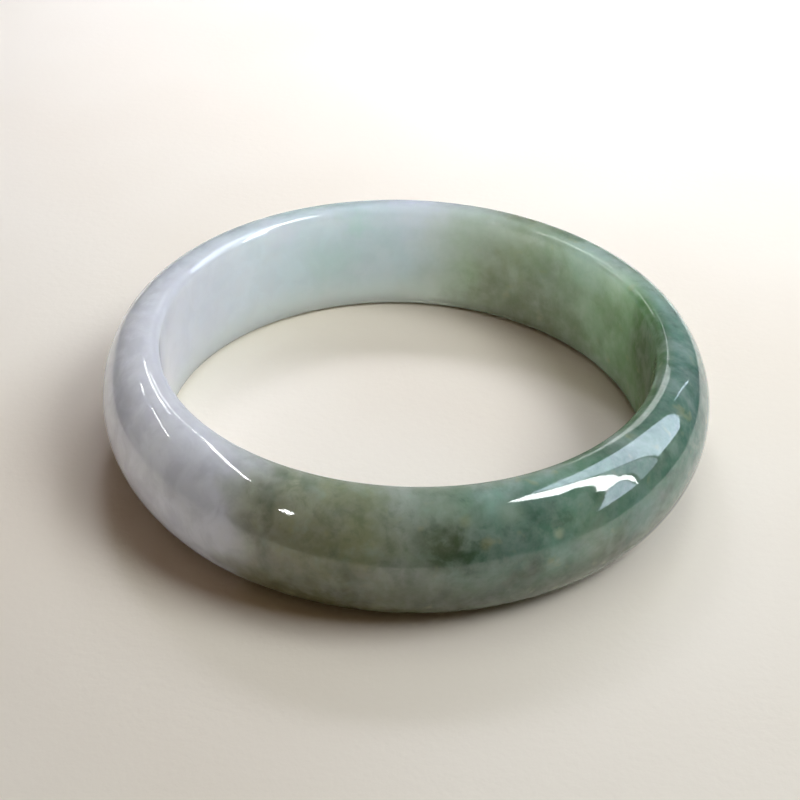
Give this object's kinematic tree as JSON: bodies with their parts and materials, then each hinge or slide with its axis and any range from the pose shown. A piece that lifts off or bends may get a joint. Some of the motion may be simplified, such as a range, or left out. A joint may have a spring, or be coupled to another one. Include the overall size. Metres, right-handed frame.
{
  "type": "bangle bracelet",
  "caption": "Closed stone bangle with a plain round bore, an oval domed outside and rounded, polished edges.",
  "frame": {"origin": "centre of the ring, on the plane it lies on", "axes": "+Z along the bore axis, away from the surface it lies on; the front view looks along +Y"},
  "size_m": [0.0694, 0.0694, 0.0146],
  "materials": {
    "jade": "polished, translucent; lavender grey to green"
  },
  "bodies": {
    "root": {"bangle": "jade"}
  },
  "joints": []
}
